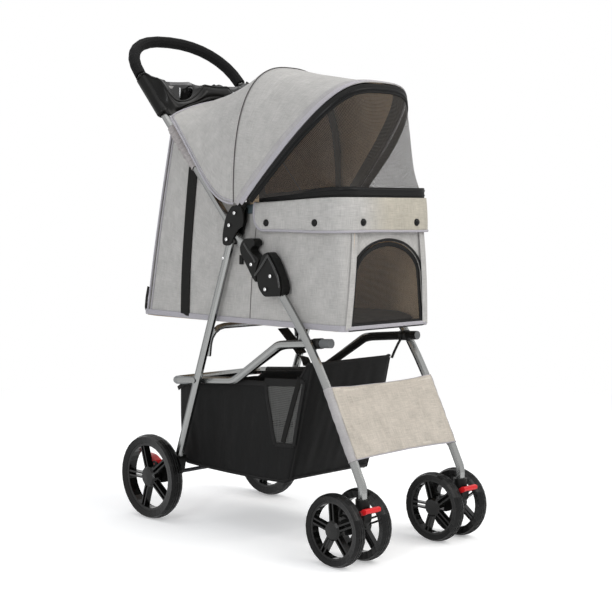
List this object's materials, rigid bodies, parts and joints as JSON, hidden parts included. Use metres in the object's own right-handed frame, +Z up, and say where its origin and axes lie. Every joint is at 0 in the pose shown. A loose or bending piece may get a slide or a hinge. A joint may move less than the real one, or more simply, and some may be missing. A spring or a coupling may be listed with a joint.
{
  "type": "pet stroller",
  "caption": "Folding wheeled pet stroller with an enclosed fabric cabin and mesh screen, hooped canopy, storage basket, cup tray, swivel casters, braked rear wheels and foam handle.",
  "frame": {"origin": "on the floor, under the middle of the overall footprint", "axes": "+Z up; the stroller faces -Y and is pushed from +Y; +X is the pusher's left when looking along -Y"},
  "size_m": [0.362, 0.7414, 0.9946],
  "materials": {
    "steel_tube": "silver-grey paint, smooth",
    "bright_steel": "bright zinc",
    "black_plastic": "matte black",
    "tray_plastic": "gloss black",
    "foam": "matte, finely pitted foam",
    "tyre": "smooth with a soft sheen",
    "red_plastic": "smooth red",
    "grey_linen": "warm grey melange weave",
    "beige_linen": "warm beige melange weave",
    "black_cloth": "black woven cloth",
    "black_mesh": "open black mesh"
  },
  "bodies": {
    "upper_frame": {"handle_frame": "steel_tube", "foam_grip": "foam", "parent_tray": "tray_plastic", "hinge_bracket_right": "black_plastic", "hinge_bracket_left": "black_plastic", "rim_tube": "steel_tube", "cabin_shell": "grey_linen", "cabin_pad": "black_cloth", "window_flap": "grey_linen", "canopy_rear": "grey_linen"},
    "latch_right": {"latch_sleeve_right": "black_plastic"},
    "latch_left": {"latch_sleeve_left": "black_plastic"},
    "door": {"front_door": "black_mesh"},
    "canopy_mid": {"mid_hoop": "steel_tube", "canopy_front": "grey_linen"},
    "canopy_front_hoop": {"front_hoop": "steel_tube", "canopy_arm_right": "black_plastic", "canopy_arm_left": "black_plastic", "mesh_screen": "black_mesh"},
    "front_legs": {"front_leg_right": "steel_tube", "front_leg_left": "steel_tube", "leg_socket_right": "black_plastic", "leg_socket_left": "black_plastic", "front_panel": "beige_linen", "caster_collar_right": "black_plastic", "caster_collar_left": "black_plastic"},
    "rear_legs": {"rear_leg_right": "steel_tube", "rear_leg_left": "steel_tube", "rear_brace": "steel_tube", "rear_housing_right": "black_plastic", "rear_housing_left": "black_plastic", "rear_axle": "bright_steel"},
    "basket": {"basket_frame": "steel_tube", "basket_plug_right": "black_plastic", "basket_plug_left": "black_plastic", "basket_bag": "black_cloth"},
    "swivel_right": {"swivel_housing_right": "black_plastic", "front_axle_right": "bright_steel"},
    "swivel_lock_right": {"swivel_lock_right": "red_plastic"},
    "brake_pedal_right": {"brake_pedal_right": "red_plastic"},
    "front_wheel_outer_right": {"front_outer_right_tyre": "tyre", "front_outer_right_rim": "black_plastic"},
    "front_wheel_inner_right": {"front_inner_right_tyre": "tyre", "front_inner_right_rim": "black_plastic"},
    "rear_wheel_right": {"rear_right_tyre": "tyre", "rear_right_rim": "black_plastic"},
    "swivel_left": {"swivel_housing_left": "black_plastic", "front_axle_left": "bright_steel"},
    "swivel_lock_left": {"swivel_lock_left": "red_plastic"},
    "brake_pedal_left": {"brake_pedal_left": "red_plastic"},
    "front_wheel_outer_left": {"front_outer_left_tyre": "tyre", "front_outer_left_rim": "black_plastic"},
    "front_wheel_inner_left": {"front_inner_left_tyre": "tyre", "front_inner_left_rim": "black_plastic"},
    "rear_wheel_left": {"rear_left_tyre": "tyre", "rear_left_rim": "black_plastic"}
  },
  "joints": [
    {"name": "frame_fold", "type": "hinge", "parent": "upper_frame", "child": "front_legs", "pos_m": [0, -0.10266, 0.478], "axis": [1, 0, 0], "range_deg": [0, 140], "deforming": ["cabin_shell", "cabin_pad", "window_flap", "basket_bag"]},
    {"name": "rear_leg_fold", "type": "hinge", "parent": "upper_frame", "child": "rear_legs", "pos_m": [0, 0.00434, 0.569], "axis": [1, 0, 0], "range_deg": [0, 102.7]},
    {"name": "basket_fold", "type": "hinge", "parent": "rear_legs", "child": "basket", "pos_m": [0, 0.11034, 0.289], "axis": [1, 0, 0], "range_deg": [-37.4, 0]},
    {"name": "canopy_mid_fold", "type": "hinge", "parent": "upper_frame", "child": "canopy_mid", "pos_m": [0, -0.01866, 0.619], "axis": [-1, 0, 0], "range_deg": [0, 28], "deforming": ["canopy_rear"]},
    {"name": "canopy_front_fold", "type": "hinge", "parent": "canopy_mid", "child": "canopy_front_hoop", "pos_m": [0, -0.01866, 0.619], "axis": [-1, 0, 0], "range_deg": [0, 22], "deforming": ["canopy_front", "mesh_screen"]},
    {"name": "front_door_hinge", "type": "hinge", "parent": "upper_frame", "child": "door", "pos_m": [0, -0.27206, 0.4145], "axis": [1, 0, 0], "range_deg": [0, 110]},
    {"name": "latch_slide_right", "type": "slide", "parent": "upper_frame", "child": "latch_right", "axis": [0, 0.6749, 0.7379], "range_m": [0, 0.018]},
    {"name": "swivel_turn_right", "type": "hinge", "parent": "front_legs", "child": "swivel_right", "pos_m": [-0.135, -0.33966, 0.095], "axis": [0, 0, 1], "continuous": true},
    {"name": "swivel_lock_flip_right", "type": "hinge", "parent": "swivel_right", "child": "swivel_lock_right", "pos_m": [-0.135, -0.34766, 0.096], "axis": [1, 0, 0], "range_deg": [-12, 0]},
    {"name": "brake_right", "type": "hinge", "parent": "rear_legs", "child": "brake_pedal_right", "pos_m": [-0.135, 0.23434, 0.106], "axis": [1, 0, 0], "range_deg": [-15, 0]},
    {"name": "front_wheel_outer_right_spin", "type": "hinge", "parent": "swivel_right", "child": "front_wheel_outer_right", "pos_m": [-0.169, -0.30566, 0.065], "axis": [1, 0, 0], "continuous": true},
    {"name": "front_wheel_inner_right_spin", "type": "hinge", "parent": "swivel_right", "child": "front_wheel_inner_right", "pos_m": [-0.101, -0.30566, 0.065], "axis": [1, 0, 0], "continuous": true},
    {"name": "rear_wheel_right_spin", "type": "hinge", "parent": "rear_legs", "child": "rear_wheel_right", "pos_m": [-0.162, 0.22134, 0.085], "axis": [1, 0, 0], "continuous": true},
    {"name": "latch_slide_left", "type": "slide", "parent": "upper_frame", "child": "latch_left", "axis": [0, 0.6749, 0.7379], "range_m": [0, 0.018]},
    {"name": "swivel_turn_left", "type": "hinge", "parent": "front_legs", "child": "swivel_left", "pos_m": [0.135, -0.33966, 0.095], "axis": [0, 0, 1], "continuous": true},
    {"name": "swivel_lock_flip_left", "type": "hinge", "parent": "swivel_left", "child": "swivel_lock_left", "pos_m": [0.135, -0.34766, 0.096], "axis": [1, 0, 0], "range_deg": [-12, 0]},
    {"name": "brake_left", "type": "hinge", "parent": "rear_legs", "child": "brake_pedal_left", "pos_m": [0.135, 0.23434, 0.106], "axis": [1, 0, 0], "range_deg": [-15, 0]},
    {"name": "front_wheel_outer_left_spin", "type": "hinge", "parent": "swivel_left", "child": "front_wheel_outer_left", "pos_m": [0.169, -0.30566, 0.065], "axis": [1, 0, 0], "continuous": true},
    {"name": "front_wheel_inner_left_spin", "type": "hinge", "parent": "swivel_left", "child": "front_wheel_inner_left", "pos_m": [0.101, -0.30566, 0.065], "axis": [1, 0, 0], "continuous": true},
    {"name": "rear_wheel_left_spin", "type": "hinge", "parent": "rear_legs", "child": "rear_wheel_left", "pos_m": [0.162, 0.22134, 0.085], "axis": [1, 0, 0], "continuous": true}
  ],
  "couplings": [
    {"joint": "rear_leg_fold", "follows": "frame_fold", "ratio": 0.733},
    {"joint": "basket_fold", "follows": "frame_fold", "ratio": -0.2665}
  ]
}
